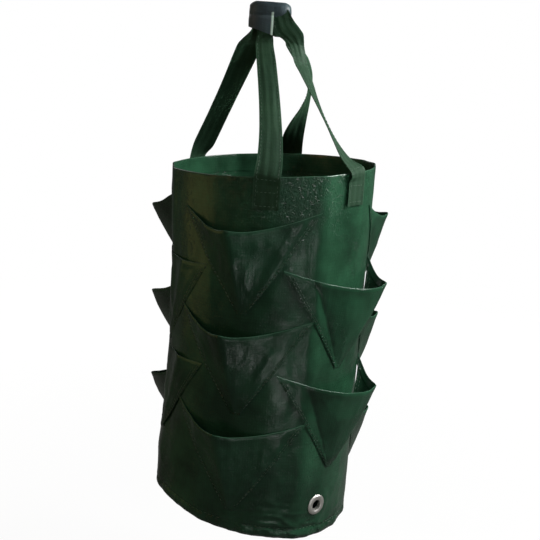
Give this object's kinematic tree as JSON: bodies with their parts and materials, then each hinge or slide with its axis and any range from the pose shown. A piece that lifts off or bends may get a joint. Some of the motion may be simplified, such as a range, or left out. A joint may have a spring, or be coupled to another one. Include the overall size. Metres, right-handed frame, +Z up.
{
  "type": "hanging grow bag",
  "caption": "Round hanging grow bag with staggered side planting pockets, drain eyelets near its base, and two handles gathered and bound at the top.",
  "frame": {"origin": "the saddle under the crown, between the handles' tops, where a hook takes the load", "axes": "+Z up, -Y the front with the front column of pockets, +X to the right seen from the front"},
  "size_m": [0.2364, 0.2311, 0.513],
  "materials": {
    "tarpaulin": "gloss laminated weave",
    "pocket_cloth": "gloss laminated weave",
    "strap": "satin laminated weave",
    "wound_strip": "satin laminated weave",
    "eyelet_metal": "polished nickel plate"
  },
  "bodies": {
    "crown": {"wrap_strip": "wound_strip", "handle_tops": "strap"},
    "bag": {"bag_wall": "tarpaulin", "eyelet_panels": "tarpaulin", "rim_hem": "tarpaulin", "side_seam": "tarpaulin", "base_panel": "tarpaulin", "eyelets": "eyelet_metal", "eyelet_washers": "eyelet_metal", "left_leg": "strap", "front_leg": "strap", "right_leg": "strap", "back_leg": "strap"},
    "front_pocket_top": {"front_pocket_top": "pocket_cloth"},
    "front_pocket_middle": {"front_pocket_middle": "pocket_cloth"},
    "front_pocket_low": {"front_pocket_low": "pocket_cloth"},
    "right_front_pocket_upper": {"right_front_pocket_upper": "pocket_cloth"},
    "right_front_pocket_lower": {"right_front_pocket_lower": "pocket_cloth"},
    "right_back_pocket_top": {"right_back_pocket_top": "pocket_cloth"},
    "right_back_pocket_middle": {"right_back_pocket_middle": "pocket_cloth"},
    "right_back_pocket_low": {"right_back_pocket_low": "pocket_cloth"},
    "back_pocket_upper": {"back_pocket_upper": "pocket_cloth"},
    "back_pocket_lower": {"back_pocket_lower": "pocket_cloth"},
    "left_back_pocket_top": {"left_back_pocket_top": "pocket_cloth"},
    "left_back_pocket_middle": {"left_back_pocket_middle": "pocket_cloth"},
    "left_back_pocket_low": {"left_back_pocket_low": "pocket_cloth"},
    "left_front_pocket_upper": {"left_front_pocket_upper": "pocket_cloth"},
    "left_front_pocket_lower": {"left_front_pocket_lower": "pocket_cloth"}
  },
  "joints": [
    {"name": "bag_twist", "type": "hinge", "parent": "crown", "child": "bag", "pos_m": [0, 0, 0], "axis": [0, 0, 1], "range_deg": [-60, 60], "stiffness_Nm_per_rad": 0.02, "deforming": ["left_leg", "front_leg", "right_leg", "back_leg"]},
    {"name": "front_pocket_top_open", "type": "hinge", "parent": "bag", "child": "front_pocket_top", "pos_m": [-0.0149, -0.0983, -0.248], "axis": [0.9397, -0.342, 0], "range_deg": [0, 12], "stiffness_Nm_per_rad": 0.08, "springref_deg": -5.73},
    {"name": "front_pocket_middle_open", "type": "hinge", "parent": "bag", "child": "front_pocket_middle", "pos_m": [-0.0149, -0.0983, -0.347], "axis": [0.9397, -0.342, 0], "range_deg": [0, 12], "stiffness_Nm_per_rad": 0.08, "springref_deg": -5.73},
    {"name": "front_pocket_low_open", "type": "hinge", "parent": "bag", "child": "front_pocket_low", "pos_m": [-0.0149, -0.0983, -0.446], "axis": [0.9397, -0.342, 0], "range_deg": [0, 12], "stiffness_Nm_per_rad": 0.08, "springref_deg": -5.73},
    {"name": "right_front_pocket_upper_open", "type": "hinge", "parent": "bag", "child": "right_front_pocket_upper", "pos_m": [0.08069, -0.06725, -0.3], "axis": [0.309, 0.9511, 0], "range_deg": [0, 12], "stiffness_Nm_per_rad": 0.08, "springref_deg": -5.73},
    {"name": "right_front_pocket_lower_open", "type": "hinge", "parent": "bag", "child": "right_front_pocket_lower", "pos_m": [0.08069, -0.06725, -0.399], "axis": [0.309, 0.9511, 0], "range_deg": [0, 12], "stiffness_Nm_per_rad": 0.08, "springref_deg": -5.73},
    {"name": "right_back_pocket_top_open", "type": "hinge", "parent": "bag", "child": "right_back_pocket_top", "pos_m": [0.10158, 0.03106, -0.248], "axis": [-0.1908, 0.9816, 0], "range_deg": [0, 12], "stiffness_Nm_per_rad": 0.08, "springref_deg": -5.73},
    {"name": "right_back_pocket_middle_open", "type": "hinge", "parent": "bag", "child": "right_back_pocket_middle", "pos_m": [0.10158, 0.03106, -0.347], "axis": [-0.1908, 0.9816, 0], "range_deg": [0, 12], "stiffness_Nm_per_rad": 0.08, "springref_deg": -5.73},
    {"name": "right_back_pocket_low_open", "type": "hinge", "parent": "bag", "child": "right_back_pocket_low", "pos_m": [0.10158, 0.03106, -0.446], "axis": [-0.1908, 0.9816, 0], "range_deg": [0, 12], "stiffness_Nm_per_rad": 0.08, "springref_deg": -5.73},
    {"name": "back_pocket_upper_open", "type": "hinge", "parent": "bag", "child": "back_pocket_upper", "pos_m": [0.02689, 0.0983, -0.3], "axis": [-1, 0, 0], "range_deg": [0, 12], "stiffness_Nm_per_rad": 0.08, "springref_deg": -5.73},
    {"name": "back_pocket_lower_open", "type": "hinge", "parent": "bag", "child": "back_pocket_lower", "pos_m": [0.02689, 0.0983, -0.399], "axis": [-1, 0, 0], "range_deg": [0, 12], "stiffness_Nm_per_rad": 0.08, "springref_deg": -5.73},
    {"name": "left_back_pocket_top_open", "type": "hinge", "parent": "bag", "child": "left_back_pocket_top", "pos_m": [-0.06869, 0.06725, -0.248], "axis": [-0.309, -0.9511, 0], "range_deg": [0, 12], "stiffness_Nm_per_rad": 0.08, "springref_deg": -5.73},
    {"name": "left_back_pocket_middle_open", "type": "hinge", "parent": "bag", "child": "left_back_pocket_middle", "pos_m": [-0.06869, 0.06725, -0.347], "axis": [-0.309, -0.9511, 0], "range_deg": [0, 12], "stiffness_Nm_per_rad": 0.08, "springref_deg": -5.73},
    {"name": "left_back_pocket_low_open", "type": "hinge", "parent": "bag", "child": "left_back_pocket_low", "pos_m": [-0.06869, 0.06725, -0.446], "axis": [-0.309, -0.9511, 0], "range_deg": [0, 12], "stiffness_Nm_per_rad": 0.08, "springref_deg": -5.73},
    {"name": "left_front_pocket_upper_open", "type": "hinge", "parent": "bag", "child": "left_front_pocket_upper", "pos_m": [-0.08958, -0.03106, -0.3], "axis": [0.6157, -0.788, 0], "range_deg": [0, 12], "stiffness_Nm_per_rad": 0.08, "springref_deg": -5.73},
    {"name": "left_front_pocket_lower_open", "type": "hinge", "parent": "bag", "child": "left_front_pocket_lower", "pos_m": [-0.08958, -0.03106, -0.399], "axis": [0.6157, -0.788, 0], "range_deg": [0, 12], "stiffness_Nm_per_rad": 0.08, "springref_deg": -5.73}
  ]
}
